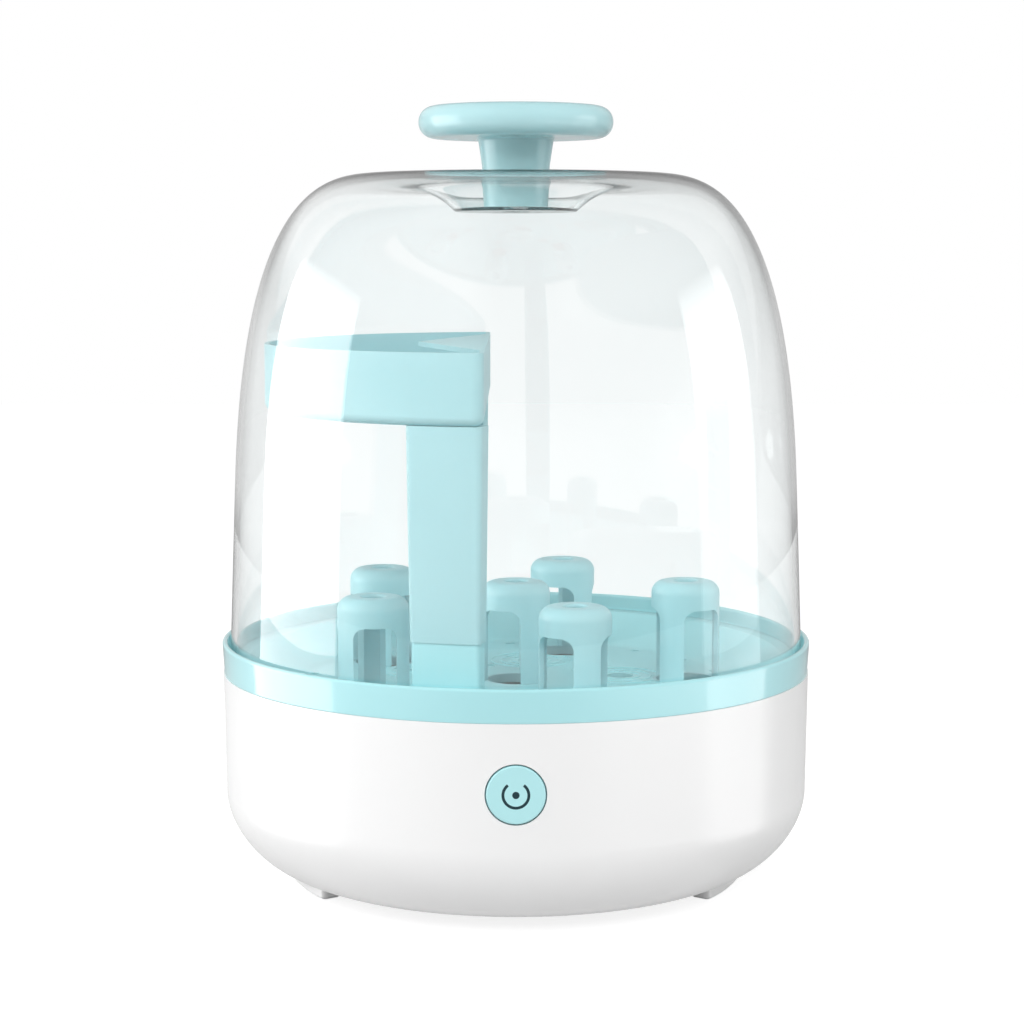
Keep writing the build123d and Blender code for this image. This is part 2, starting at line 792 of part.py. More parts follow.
def lead_wires():
    """Live, switched, neutral and earth wires under the heater."""
    level = cover_top + wire_level
    lower = level - wire_layer
    terminal_y = terminal_size[1] - board_back
    tab_end = inlet_back - tab_length
    (neutral_x, drop), (live_x, _), (earth_x, rise) = inlet_pin_places()
    live = wire(
        (terminal_pitch, terminal_y, terminal_z),
        (terminal_pitch, terminal_y + wire_rise, terminal_z),
        (wire_side, terminal_y + wire_run, level),
        (wire_side, 0, level),
        (live_x, tab_end - wire_run, level),
        (live_x, tab_end - wire_rise, inlet_height + drop),
        (live_x, tab_end, inlet_height + drop),
    )
    (left_x, end_y), (right_x, _) = element_ends()
    neutral = wire(
        (left_x, end_y, element_pin_low),
        (left_x, end_y, lower),
        (left_x, end_y + wire_rise, lower),
        (neutral_x, tab_end - wire_run, lower),
        (neutral_x, tab_end - wire_rise, inlet_height + drop),
        (neutral_x, tab_end, inlet_height + drop),
    )
    switched = wire(
        (0, terminal_y, terminal_z),
        (0, terminal_y + wire_rise, terminal_z),
        (right_x, end_y - wire_rise, lower),
        (right_x, end_y, lower),
        (right_x, end_y, element_pin_low),
    )
    earth_y = element_circle - element_radius - 2 * wire_radius
    earth = wire(
        (0, earth_y, block_low),
        (0, earth_y, level),
        (0, tab_end - wire_run, level),
        (earth_x, tab_end - wire_rise, inlet_height + rise),
        (earth_x, tab_end, inlet_height + rise),
    )
    return [live, neutral, switched, earth]


def peg_places():
    ring_places = [polar(peg_circle, peg_start + 360 / peg_count * k) for k in range(peg_count)]
    return ring_places + [(0.0, 0.0)]


def post_section(width, depth_inset=0.0):
    """Cross-section of a post: a short piece of a ring, with its length along Y."""
    inner, outer = post_outer - post_depth + depth_inset, post_outer - depth_inset
    middle = (inner + outer) / 2
    return (Circle(outer) - Circle(inner)) & Pos(middle, 0) * Rectangle(post_depth + 8, width)


def hole_places(circle, start):
    """Middles of the holes on a circle round the axis, one beside each peg of the ring."""
    return [polar(circle, start + 360 / peg_count * k) for k in range(peg_count)]


def dish_space():
    """Everything above the middle of the rack's wall."""
    outline = [
        (0, rack_floor - plastic_wall / 2),
        (under_low, rack_floor - plastic_wall / 2),
        (under_high, lid_seat - plastic_wall / 2),
        (under_high, socket_top + 1),
        (0, socket_top + 1),
    ]
    return turned(outline)


def bottle_rack():
    """Mint dish with the rim: it stands on the shell, carries the pegs and has two post sockets."""
    band_low = rim_radius - rim_lean
    skirt = shell_radius - plastic_wall - snap_gap
    under = lid_seat - plastic_wall
    outline = [
        (0, rack_floor),
        (rack_floor_radius, rack_floor),
        (lid_seat_inner, lid_seat),
        (rim_inner, lid_seat),
        (rim_inner, rim_height),
        (rim_radius, rim_height),
        (band_low, shell_top),
        (skirt, shell_top),
        (skirt, shell_top - skirt_depth),
        (skirt - skirt_width, shell_top - skirt_depth),
        (skirt - skirt_width, under),
        (under_high, under),
        (under_low, rack_floor - plastic_wall),
        (0, rack_floor - plastic_wall),
    ]
    rack = turned(outline, [0, 10, 2, 0.5, 1.2, 1.2, 0.4, 0, 0.4, 0.4, 0.5, 4, 12, 0])
    for x, y in hole_places(large_hole_circle, large_hole_start):
        for radius in step_radii:
            step = ring(radius, radius + step_width, rack_floor - 1, rack_floor + step_height, x, y)
            for peg_x, peg_y in peg_places():
                step -= ring(0, peg_radius + snap_gap, rack_floor - 2, rack_floor + 1, peg_x, peg_y)
            rack += step
    sockets = []
    low = rack_floor - plastic_wall
    for angle in post_angles:
        section = post_section(post_width - 2 * socket_step, socket_step)
        section = fillet(section.vertices(), post_edge)
        sockets.append(Rot(0, 0, angle) * extrude(Pos(0, 0, low) * section, socket_top - low))
    for socket in sockets:
        rack += socket & dish_space()
    cavity = post_section(post_width - 2 * socket_wall, socket_wall)
    for angle in post_angles:
        depth = tongue_length + socket_spare
        rack -= Rot(0, 0, angle) * extrude(Pos(0, 0, socket_top - depth) * cavity, depth)
    low, high = rack_floor - 2 * plastic_wall, rack_floor + 1
    for x, y in peg_places():
        rack -= ring(0, peg_collar + peg_gap, low, high, x, y)
    holes = [
        (large_hole_radius, large_hole_circle, large_hole_start),
        (small_hole_radius, peg_radius + small_hole_margin, small_hole_start),
    ]
    for radius, circle, start in holes:
        for x, y in hole_places(circle, start):
            rack -= ring(0, radius, low, high, x, y)
    slot_circle = rack_floor_radius - slot_circle_inset
    slot = block(
        (slot_circle - slot_size[0] / 2, slot_circle + slot_size[0] / 2),
        (-slot_size[1] / 2, slot_size[1] / 2),
        (rack_floor - 2 * plastic_wall, rack_floor + 4),
    )
    for k in range(slot_count):
        rack -= Rot(0, 0, slot_start + 360 / slot_count * k) * slot
    return rack


def bottle_peg(x, y, leg_angle):
    """Hollow peg for one bottle: a round cap on three legs, snapped into the dish's floor."""
    inner = peg_radius - peg_wall
    lip_top = rack_floor - plastic_wall - peg_gap
    top = rack_floor + peg_height
    outline = [
        (inner, lip_top - peg_lip_height),
        (peg_collar, lip_top - peg_lip_height),
        (peg_collar + peg_lip, lip_top),
        (peg_collar, lip_top),
        (peg_collar, rack_floor),
        (peg_radius, rack_floor),
        (peg_radius, top),
        (peg_cap_hole, top),
        (peg_cap_hole, top - peg_cap_wall),
        (inner, top - peg_cap_wall),
    ]
    peg = turned(outline, [0, 0, 0, 0, 0, 0, peg_crown, 1.0, 0.4, peg_crown - peg_wall])
    window_top = top - peg_window_drop
    half = peg_window / 2
    plane = Plane(origin=(0, 0, 0), x_dir=(0, 1, 0), z_dir=(1, 0, 0))
    window = FilletPolyline(
        (-half, rack_floor),
        (half, rack_floor),
        (half, window_top),
        (-half, window_top),
        radius=[0, 0, peg_window_corner, peg_window_corner],
        close=True,
    )
    cutter = extrude(plane * make_face(window), peg_radius + 2)
    for k in range(3):
        peg -= Rot(0, 0, 60 + 120 * k) * cutter
    return Pos(x, y, 0) * Rot(0, 0, leg_angle) * peg


def tray_outline(inset=0.0):
    """The tray's half-round outline, drawn in by an inset, with its two corners rounded."""
    reach = tray_radius - inset
    width = reach - tray_cut - inset
    half = Circle(reach) & Pos(-tray_cut - inset - width / 2, 0) * Rectangle(width, 2 * reach)
    return fillet(half.vertices(), max(tray_corner - inset, 1.0))


def post_tab_section(gap=0.0):
    return Pos(post_middle - tab_setback, 0) * Rectangle(tab_depth + 2 * gap, tab_width + 2 * gap)


def accessory_tray():
    """Open half-round tray for teats and rings, with a three-cornered grip at its flat side."""
    body = extrude(Pos(0, 0, tray_low) * tray_outline(), tray_height)
    body = fillet(body.faces().sort_by(Axis.Z)[0].edges(), tray_base_round)
    hollow = extrude(Pos(0, 0, tray_low + tray_wall) * tray_outline(tray_wall), tray_height)
    hollow = fillet(hollow.faces().sort_by(Axis.Z)[0].edges(), tray_base_round - tray_wall)
    body -= hollow
    half = grip_length / 2
    near = -tray_cut - tray_wall / 2
    corners = ((near, -half), (near - grip_reach, 0), (near, half))
    grip = FilletPolyline(*corners, radius=[0, grip_corner, 0], close=True)
    grip_solid = extrude(Pos(0, 0, tray_top - grip_wall) * make_face(grip), grip_wall)
    body += grip_solid & extrude(Pos(0, 0, tray_low) * tray_outline(tray_wall / 2), tray_height)
    rows = int((tray_radius - tray_slot_margin * 2) / tray_slot_pitch)
    for row in range(-rows, rows + 1):
        y = row * tray_slot_pitch
        far = math.sqrt((tray_radius - tray_slot_margin) ** 2 - y**2)
        near_end = tray_cut + tray_slot_margin
        length = far - near_end
        if length > 3 * tray_slot_width:
            slot = Pos(-near_end - length / 2, y, tray_low - 1) * SlotOverall(length, tray_slot_width)
            body -= extrude(slot, tray_wall + 2)
    for angle in post_angles:
        body -= Rot(0, 0, angle) * extrude(Pos(0, 0, tray_low - 1) * post_tab_section(0.2), tray_wall + 2)
    return body


def accessory_post(angle):
    """Post under the tray: a tongue for the rack's socket, a channelled back and a tab for the tray."""
    height = tray_low - socket_top
    section = fillet(post_section(post_width).vertices(), post_edge)
    post = extrude(Pos(0, 0, socket_top) * section, height, taper=-post_taper)
    deep = (post_outer - 1.5 * post_depth, post_outer - 2 * post_wall)
    half = post_width / 2 - post_wall
    pitch = (height - 2 * post_channel_margin) / (post_ribs + 1)
    for k in range(post_ribs + 1):
        low = socket_top + post_channel_margin + k * pitch
        post -= block(deep, (-half, half), (low, low + pitch - post_wall))
    tongue = post_section(post_width - 2 * socket_wall - 2 * snap_gap, socket_wall + snap_gap)
    post += extrude(Pos(0, 0, socket_top - tongue_length) * tongue, tongue_length + 1)
    post += extrude(Pos(0, 0, tray_low - 1) * post_tab_section(), tab_height + 1)
    return Rot(0, 0, angle) * post


def lid_dome():
    """Clear lid: a tall dome with a dish at its top round the knob, and vents behind the stem."""
    wall = plastic_wall
    top_radius = lid_radius - lid_lean
    rise = crest - lid_shoulder
    lean_rise = rise * lid_lean / lid_side

    def shoulder(inset):
        return Bezier(
            (top_radius - inset, 0, lid_shoulder),
            (top_radius - inset - lean_rise, 0, crest - inset),
            (crest_radius + crest_handle, 0, crest - inset),
            (crest_radius, 0, crest - inset),
        )

    side = Line((lid_radius, 0, lid_seat), (top_radius, 0, lid_shoulder))
    side_inner = Line((lid_radius - wall, 0, lid_seat), (top_radius - wall, 0, lid_shoulder))
    slant = wall * (math.sqrt(2) - 1)
    dish_outer = FilletPolyline(
        (crest_radius, 0, crest),
        (dish_radius + dish_depth, 0, crest),
        (dish_radius, 0, dish_floor),
        (boss_radius, 0, dish_floor),
        (boss_radius, 0, dish_floor + boss_height),
        (knob_screw_radius + snap_gap, 0, dish_floor + boss_height),
        radius=[dish_round, 1.0, 0, 0.5],
    )
    hole = Line(
        (knob_screw_radius + snap_gap, 0, dish_floor + boss_height),
        (knob_screw_radius + snap_gap, 0, dish_floor + boss_height - wall),
    )
    dish_inner = FilletPolyline(
        (knob_screw_radius + snap_gap, 0, dish_floor + boss_height - wall),
        (boss_radius - wall, 0, dish_floor + boss_height - wall),
        (boss_radius - wall, 0, dish_underside),
        (dish_radius + slant, 0, dish_underside),
        (dish_radius + slant + dish_depth, 0, crest - wall),
        (crest_radius, 0, crest - wall),
        radius=[0.5, 0.5, 1.0, dish_round + wall],
    )
    foot = Line((lid_radius - wall, 0, lid_seat), (lid_radius, 0, lid_seat))
    lid = closed_turn(side, shoulder(0), dish_outer, hole, dish_inner, shoulder(wall), side_inner, foot)
    for k in range(vent_count):
        x, y = polar(vent_circle, 90 + vent_turn * (k - (vent_count - 1) / 2))
        lid -= ring(0, vent_radius, dish_underside - 1, dish_floor + 1, x, y)
    return lid


def lid_knob():
    """Mint knob: a thick round disc on a waisted stem, bored for the lid's boss and its screw."""
    under = dish_floor + knob_underside
    top = under + knob_height
    outline = [
        (0, dish_floor),
        (stem_foot, dish_floor),
        (stem_waist, dish_floor + stem_waist_height),
        (stem_top, under),
        (knob_radius, under),
        (knob_radius, top - knob_crown),
        (0, top),
    ]
    knob = turned(outline, [0, 0.4, stem_round, 1.6, knob_edge, knob_edge, 0])
    ceiling = dish_floor + boss_height + gasket_height
    knob -= ring(0, boss_radius + snap_gap, dish_floor - 1, ceiling)
    knob -= ring(0, knob_screw_radius + thread_gap, dish_floor, ceiling + knob_pilot)
    return knob


def knob_gasket():
    """Silicone ring between the lid's boss and the knob's stem."""
    low = dish_floor + boss_height
    return ring(knob_screw_radius + snap_gap, boss_radius - snap_gap, low, low + gasket_height)


def knob_washer():
    high = dish_floor + boss_height - plastic_wall
    outer = boss_radius - plastic_wall - 2 * snap_gap
    return ring(knob_screw_radius + close_gap, outer, high - washer_wall, high)


def knob_screw():
    """Screw from inside the lid's boss up into the knob's stem."""
    shank_low = dish_floor + boss_height - plastic_wall - washer_wall
    length = washer_wall + plastic_wall + gasket_height + knob_pilot - tip_gap
    head_low = shank_low - knob_screw_head_height
    return screw(0, 0, head_low, length, knob_screw_head, knob_screw_radius, knob_screw_head_height)


pieces = {
    "base_shell": base_shell(),
    "bottom_cover": bottom_cover(),
    "cover_screws": cover_screws(),
    "foot_pads": foot_pads(),
    "water_pan": water_pan(),
    "plate_seal": plate_seal(),
    "heating_plate": heating_plate(),
    "plate_clamp": plate_clamp(),
    "clamp_screws": clamp_screws(),
    "heater_element": heater_element(),
    "heater_block": heater_block(),
    "thermostat": thermostat(),
    "thermostat_screws": thermostat_screws(),
    "thermal_fuse": thermal_fuse(),
    "fuse_clip": fuse_clip(),
    "power_button": power_button(),
    "button_symbol": symbol_solid(),
    "button_guide": button_guide(),
    "button_spring": button_spring(),
    "tact_switch": tact_switch(),
    "switch_actuator": switch_actuator(),
    "control_board": control_board(),
    "board_screws": board_screws(),
    "relay": relay(),
    "terminal_block": terminal_block(),
    "power_inlet": power_inlet(),
    "inlet_pins": inlet_pins(),
    "lead_wires": lead_wires(),
    "bottle_rack": bottle_rack(),
    "accessory_tray": accessory_tray(),
    "accessory_post_front": accessory_post(post_angles[0]),
    "accessory_post_rear": accessory_post(post_angles[1]),
    "lid_dome": lid_dome(),
    "lid_knob": lid_knob(),
    "knob_gasket": knob_gasket(),
    "knob_washer": knob_washer(),
    "knob_screw": knob_screw(),
}
for number, (peg_x, peg_y) in enumerate(peg_places(), start=1):
    name = "bottle_peg_centre" if number > peg_count else f"bottle_peg_{number}"
    leg = centre_peg_turn if number > peg_count else peg_start + 360 / peg_count * (number - 1)
    pieces[name] = bottle_peg(peg_x, peg_y, leg)

os.makedirs("parts", exist_ok=True)
for name, piece in pieces.items():
    shape = Compound(children=list(piece)) if isinstance(piece, list) else piece
    export_step(shape, f"parts/{name}.step")
    print(name, round(shape.volume))
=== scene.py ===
import math
import bmesh
import bpy
import numpy as np
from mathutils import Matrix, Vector


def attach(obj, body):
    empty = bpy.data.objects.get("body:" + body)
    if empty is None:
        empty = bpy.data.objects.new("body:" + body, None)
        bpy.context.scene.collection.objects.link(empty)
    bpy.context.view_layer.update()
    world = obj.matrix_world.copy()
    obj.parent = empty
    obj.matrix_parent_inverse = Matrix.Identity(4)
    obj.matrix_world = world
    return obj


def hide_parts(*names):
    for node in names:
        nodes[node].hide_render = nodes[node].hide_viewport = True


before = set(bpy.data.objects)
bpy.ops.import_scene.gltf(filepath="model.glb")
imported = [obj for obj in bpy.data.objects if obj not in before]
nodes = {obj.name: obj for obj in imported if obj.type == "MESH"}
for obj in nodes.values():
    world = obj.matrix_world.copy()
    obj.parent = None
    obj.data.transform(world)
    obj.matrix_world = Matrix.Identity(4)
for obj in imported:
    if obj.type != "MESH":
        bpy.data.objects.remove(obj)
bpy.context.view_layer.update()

# Base shell. The white outer casing is injection-moulded ABS from a polished tool, so it has a
# soft gloss with a very faint orange peel. It carries the pan, the button and the feet.
cloud_mm = 1000 / 18
plastic_ior = 1.5
light_depth = 0.003
polish_edge = 0.0005


def linear(code):
    """Linear red, green and blue from an sRGB hex code, with a full alpha."""
    values = [int(code[i : i + 2], 16) / 255 for i in (1, 3, 5)]
    return (*[v / 12.92 if v <= 0.04045 else ((v + 0.055) / 1.055) ** 2.4 for v in values], 1.0)


def add(tree, kind, links=None, inputs=None, **settings):
    """Adds a node: links feed its inputs, inputs are the values of others, settings are its properties."""
    node = tree.nodes.new(kind)
    for name, value in settings.items():
        setattr(node, name, value)
    for name, value in (inputs or {}).items():
        node.inputs[name].default_value = value
    for name, source in (links or {}).items():
        tree.links.new(source, node.inputs[name])
    return node


def new_material(name):
    """A material with an empty node tree."""
    material = bpy.data.materials.new(name)
    material.use_nodes = True
    material.node_tree.nodes.clear()
    return material, material.node_tree


def paint(material, *names):
    """Puts a material on every slot of the CAD nodes named."""
    for name in names:
        mesh = nodes[name].data
        for index in range(len(mesh.materials)):
            mesh.materials[index] = material


def from_axis(tree, place):
    """The distance from the upright axis: the length of the place with its height left out."""
    flat = add(tree, "ShaderNodeVectorMath", {0: place}, {1: (1, 1, 0)}, operation="MULTIPLY")
    radius = add(tree, "ShaderNodeVectorMath", {0: flat.outputs["Vector"]}, operation="LENGTH")
    return radius.outputs["Value"]


def surface(tree, pattern, relief, shades, rough, uneven, bump, bump_mm, links, inputs):
    """A shader: the pattern mixes a light and a dark shade and moves the roughness up and down by the share
    uneven. The relief is the bump, with its strength and its height in millimetres."""
    light, dark = shades
    shade = add(
        tree, "ShaderNodeMix", {"Factor": pattern}, {"A": linear(dark), "B": linear(light)}, data_type="RGBA"
    )
    gloss = add(
        tree, "ShaderNodeMapRange", {"Value": pattern},
        {"To Min": rough * (1 - uneven), "To Max": rough * (1 + uneven)},
    )
    normal = add(
        tree, "ShaderNodeBump", {"Height": relief}, {"Strength": bump, "Distance": bump_mm / 1000}
    )
    own_links = {
        "Base Color": shade.outputs["Result"],
        "Roughness": gloss.outputs["Result"],
        "Normal": normal.outputs["Normal"],
    }
    shader = add(tree, "ShaderNodeBsdfPrincipled", {**own_links, **links}, inputs)
    add(tree, "ShaderNodeOutputMaterial", {"Surface": shader.outputs["BSDF"]})


def moulded(name, *shades, rough, peel_mm, peel, inside=0.0, polished=None):
    """A moulded plastic: two close shades in soft clouds, uneven gloss and an orange peel of a width and a
    strength. Inside is the share of light that goes into it. Polished is a radius from the axis in metres,
    and the roughness of the clear gloss beyond it."""
    material, tree = new_material(name)
    place = add(tree, "ShaderNodeTexCoord").outputs["Object"]
    clouds = add(tree, "ShaderNodeTexNoise", {"Vector": place}, {"Scale": 1000 / cloud_mm, "Detail": 3.0})
    dimples = add(tree, "ShaderNodeTexNoise", {"Vector": place}, {"Scale": 1000 / peel_mm, "Detail": 2.0})
    links = {}
    inputs = {
        "IOR": plastic_ior,
        "Subsurface Weight": inside,
        "Subsurface Radius": (1.0, 1.0, 1.0),
        "Subsurface Scale": light_depth,
    }
    if polished:
        edge, coat_rough = polished
        coat = add(
            tree, "ShaderNodeMapRange", {"Value": from_axis(tree, place)},
            {"From Min": edge, "From Max": edge + polish_edge},
        )
        links["Coat Weight"] = coat.outputs["Result"]
        inputs["Coat Roughness"] = coat_rough
    surface(
        tree, clouds.outputs["Fac"], dimples.outputs["Fac"], shades, rough, uneven=0.15, bump=peel,
        bump_mm=0.2, links=links, inputs=inputs,
    )
    return material


paint(moulded("moulded_white_ABS", "#F5F5F5", "#F2F2F2", rough=0.24, peel_mm=1.6, peel=0.04), "base_shell")

# Bottom cover, button guide and feet. The cover and the guide are plainer ABS with a fine spark
# texture, the pads under the feet are a soft thermoplastic rubber, and the screws are zinc plated.
spark_textured = moulded("spark_textured_ABS", "#EEF0F0", "#E8EAEA", rough=0.55, peel_mm=0.5, peel=0.25)
paint(spark_textured, "bottom_cover", "button_guide")
paint(moulded("thermoplastic_rubber", "#F0F2F2", "#EAECEC", rough=0.7, peel_mm=0.8, peel=0.3), "foot_pads")


def plain_metal(name, *shades, rough, scratch_mm):
    """A metal with short random marks of a width, which change its shade and its gloss."""
    material, tree = new_material(name)
    place = add(tree, "ShaderNodeTexCoord").outputs["Object"]
    marks = add(tree, "ShaderNodeTexNoise", {"Vector": place}, {"Scale": 1000 / scratch_mm, "Detail": 5.0})
    surface(
        tree, marks.outputs["Fac"], marks.outputs["Fac"], shades, rough, uneven=0.3, bump=0.1, bump_mm=0.1,
        links={}, inputs={"Metallic": 1.0},
    )
    return material


zinc = plain_metal("zinc_plated_steel", "#D3D5D6", "#BFC2C4", rough=0.3, scratch_mm=1.5)
paint(zinc, "cover_screws", "clamp_screws", "thermostat_screws", "board_screws", "knob_screw", "knob_washer")
spring_steel = plain_metal("spring_steel", "#BDBFC2", "#A9ABAE", rough=0.3, scratch_mm=1.0)
paint(spring_steel, "button_spring", "fuse_clip", "plate_clamp")

# Water pan and heating plate. The pan is white polypropylene, the seal is silicone, and the plate
# is a stainless disc faced on a lathe, so its marks run in rings, drawn coarser than they are.
waxy_white = moulded(
    "white_polypropylene", "#F1F4F4", "#ECEFEF", rough=0.35, peel_mm=1.2, peel=0.08, inside=0.1
)
paint(waxy_white, "water_pan")
silicone = moulded("white_silicone", "#E6E8E6", "#DEE0DE", rough=0.5, peel_mm=0.8, peel=0.15)
paint(silicone, "plate_seal", "knob_gasket", "lead_wires")


def ringed_metal(name, *shades, rough, ring_mm):
    """A lathe-faced metal: noise on the distance from the axis draws rings of a width."""
    material, tree = new_material(name)
    place = add(tree, "ShaderNodeTexCoord").outputs["Object"]
    rings = add(
        tree, "ShaderNodeTexNoise", {"W": from_axis(tree, place)}, {"Scale": 1000 / ring_mm, "Detail": 4.0},
        noise_dimensions="1D",
    )
    surface(
        tree, rings.outputs["Fac"], rings.outputs["Fac"], shades, rough, uneven=0.4, bump=0.15, bump_mm=0.1,
        links={}, inputs={"Metallic": 1.0},
    )
    return material


paint(ringed_metal("lathe_faced_stainless", "#D0D2D3", "#B4B7B9", rough=0.28, ring_mm=0.6), "heating_plate")

# Heater under the plate. The block is die-cast aluminium, the element is a dull sheathed tube, and
# the thermostat and the fuse are phenolic mouldings.
paint(plain_metal("die_cast_aluminium", "#C9CBCD", "#B2B4B6", rough=0.45, scratch_mm=0.8), "heater_block")
paint(plain_metal("heater_sheath", "#8F8C88", "#77746F", rough=0.5, scratch_mm=0.8), "heater_element")
black = moulded("black_phenolic", "#232426", "#1B1C1E", rough=0.45, peel_mm=0.8, peel=0.15)
paint(black, "thermostat", "thermal_fuse", "tact_switch", "switch_actuator", "relay", "terminal_block")

# Control board and mains inlet. The board is glass laminate under green solder mask, the inlet is
# black glass-filled nylon with nickel-plated pins.
paint(moulded("green_solder_mask", "#1B6B45", "#145638", rough=0.3, peel_mm=2.0, peel=0.05), "control_board")
paint(moulded("glass_filled_nylon", "#2A2B2D", "#1F2022", rough=0.5, peel_mm=0.5, peel=0.25), "power_inlet")
paint(plain_metal("nickel_plated_brass", "#D9D3C4", "#C4BDAC", rough=0.2, scratch_mm=1.5), "inlet_pins")

# Power button. A mint ABS cap stands slightly out of the shell, and its open ring and dot are a
# dark teal second shot, flush with the face.
paint(moulded("mint_button_ABS", "#B9EBEF", "#B3E7EB", rough=0.3, peel_mm=1.2, peel=0.05), "power_button")
paint(moulded("dark_teal_ABS", "#06323A", "#042C33", rough=0.5, peel_mm=1.0, peel=0.05), "button_symbol")

# Bottle rack and pegs. The rack is mint polypropylene, slightly waxy, from a tool that is polished
# outside the rim and fine-textured inside it, so only the outer band mirrors the lamps. The pegs
# are the same plastic with the texture, and snap into the dish's floor; their greyer, darker mint is
# painted shade for the light under the lid.
inner_rim_radius, rim_gloss = 0.1275, 0.08
polished_mint = moulded(
    "mint_polypropylene_polished_rim", "#B0E6EB", "#AAE2E7", rough=0.34, peel_mm=1.5, peel=0.02, inside=0.15,
    polished=(inner_rim_radius, rim_gloss),
)
paint(polished_mint, "bottle_rack")
# The satin mint is the rack's colour made greyer and a little darker: painted shade for the light under the
# lid.
satin_mint_painted_shade = moulded(
    "mint_polypropylene_satin_painted_shade", "#B5DEE3", "#AFDADF", rough=0.36, peel_mm=1.0, peel=0.04, inside=0.15
)
paint(satin_mint_painted_shade, "bottle_peg_centre", *[f"bottle_peg_{k}" for k in range(1, 6)])

# Accessory holder. The tray and its two posts are mouldings of the same mint polypropylene as the
# pegs, from a fine-textured tool, so they are satin all over, and carry the same painted shade.
paint(satin_mint_painted_shade, "accessory_tray", "accessory_post_front", "accessory_post_rear")

# Lid dome. Clear polycarbonate, moulded in one piece and polished, with a faint cool tint. It is
# turned here from its profile, because clear walls show every facet, and it sits in the rim's
# seat. Five vents go through the dish's floor behind the stem. Sizes are in millimetres and degrees.
scene = bpy.context.scene


def bezier(handles, steps):
    """Cubic curve: handles weighted by (1-t)^3, 3t(1-t)^2, 3t^2(1-t) and t^3."""
    t = np.linspace(0, 1, steps)[:, None]
    a, b, c, d = np.array(handles, float)
    return (1 - t) ** 3 * a + 3 * t * (1 - t) ** 2 * b + 3 * t**2 * (1 - t) * c + t**3 * d


def rounded(corners, radii, steps):
    """Straight runs joined by arcs. An arc starts radius times tan(half the turn) before its corner and
    sweeps by the turn about a centre that stands off both runs by the radius."""
    corners = np.array(corners, float)
    path = [corners[:1]]
    for before, corner, after, radius in zip(corners, corners[1:], corners[2:], radii):
        u = (corner - before) / np.linalg.norm(corner - before)
        v = (after - corner) / np.linalg.norm(after - corner)
        turn = np.arctan2(u[0] * v[1] - u[1] * v[0], u @ v)
        arm = radius * np.sign(turn) * np.array([u[1], -u[0]])
        first = corner - u * radius * np.tan(abs(turn) / 2)
        sweep = np.linspace(0, turn, steps if radius else 1)[:, None]
        spun = arm * np.cos(sweep) + np.array([-arm[1], arm[0]]) * np.sin(sweep)
        path.append(first - arm + spun)
    return np.concatenate(path + [corners[-1:]])


def dense(path, longest):
    """The same path with points that coincide left out, and extra points set evenly along each run, so that
    none is longer than the length given."""
    runs = np.linalg.norm(np.diff(path, axis=0), axis=1)
    keep = np.concatenate([[True], runs > 1e-6])
    path, runs = path[keep], runs[keep[1:]]
    along = np.concatenate([[0.0], np.cumsum(runs)])
    cuts = np.ceil(runs / longest).astype(int)
    extra = np.concatenate([np.linspace(a, b, n + 1)[:-1] for a, b, n in zip(along, along[1:], cuts)])
    extra = np.append(extra, along[-1])
    return np.stack([np.interp(extra, along, path[:, k]) for k in (0, 1)], 1)


def turned(profile, angles):
    """A profile of radius and height turned about the axis: x = r cos a, y = r sin a, z = height."""
    r, z = profile[:, :1], profile[:, 1:]
    return np.stack([r * np.cos(angles), r * np.sin(angles), z + 0 * angles], -1)


def quads(grid, closed=True):
    """Places and four-cornered faces of a grid of points, whose last column joins its first if closed."""
    number = np.arange(grid.shape[0] * grid.shape[1]).reshape(grid.shape[:2])
    beside = np.roll(number, -1, 1)
    faces = np.stack([number[:-1], beside[:-1], beside[1:], number[1:]], -1)
    if not closed:
        faces = faces[:, :-1]
    return grid.reshape(-1, 3), faces.reshape(-1, 4)


def placed(name, places, faces):
    """An object in the scene, with a mesh of these places in metres and these faces."""
    mesh = bpy.data.meshes.new(name)
    mesh.from_pydata(places.tolist(), [], faces.tolist())
    piece = bpy.data.objects.new(name, mesh)
    scene.collection.objects.link(piece)
    return piece


def welded(name, grids, crease):
    """One mesh of several grids in millimetres, welded where they meet, with its normals outwards and its
    edges sharp where they turn by more than the crease. Each grid comes with whether it closes on itself."""
    points, faces, count = [], [], 0
    for grid, closed in grids:
        places, corners = quads(grid, closed)
        points.append(places * 0.001)
        faces.append(corners + count)
        count += len(places)
    piece = placed(name, np.concatenate(points), np.concatenate(faces))
    work = bmesh.new()
    work.from_mesh(piece.data)
    bmesh.ops.remove_doubles(work, verts=work.verts, dist=1e-6)
    bmesh.ops.recalc_face_normals(work, faces=work.faces)
    work.to_mesh(piece.data)
    work.free()
    piece.data.shade_smooth()
    piece.data.set_sharp_from_angle(angle=math.radians(crease))
    return piece


wall = 2.5
foot_radius, foot_z = 126.5, 98.0
shoulder_radius, shoulder_z = 123.5, 175.4
crest_radius, crest_z, crest_handle = 60.1, 308.4, 19.0
lean = (foot_radius - shoulder_radius) * (crest_z - shoulder_z) / (shoulder_z - foot_z)
dish_radius, dish_z = 25.4, 295.4
dish_depth = crest_z - dish_z
brim_round, dish_round = 27.5, 1.0
boss_radius, boss_z, boss_round, hole_radius = 8.5, 301.9, 0.5, 2.3
slant = wall * (math.sqrt(2) - 1)
vents, vent_turn, vent_radius, vent_circle = 5, 14, 1.6, 20.0
vent_inner, vent_outer, vent_rows = 17.0, 23.0, 8
vent_middle = 90
vent_start = vent_middle - vents * vent_turn / 2
vent_end = vent_middle + vents * vent_turn / 2
side_steps, dish_steps, boss_steps = 62, 17, 6
skin_row, boss_row, crease = 8.0, 3.0, 32


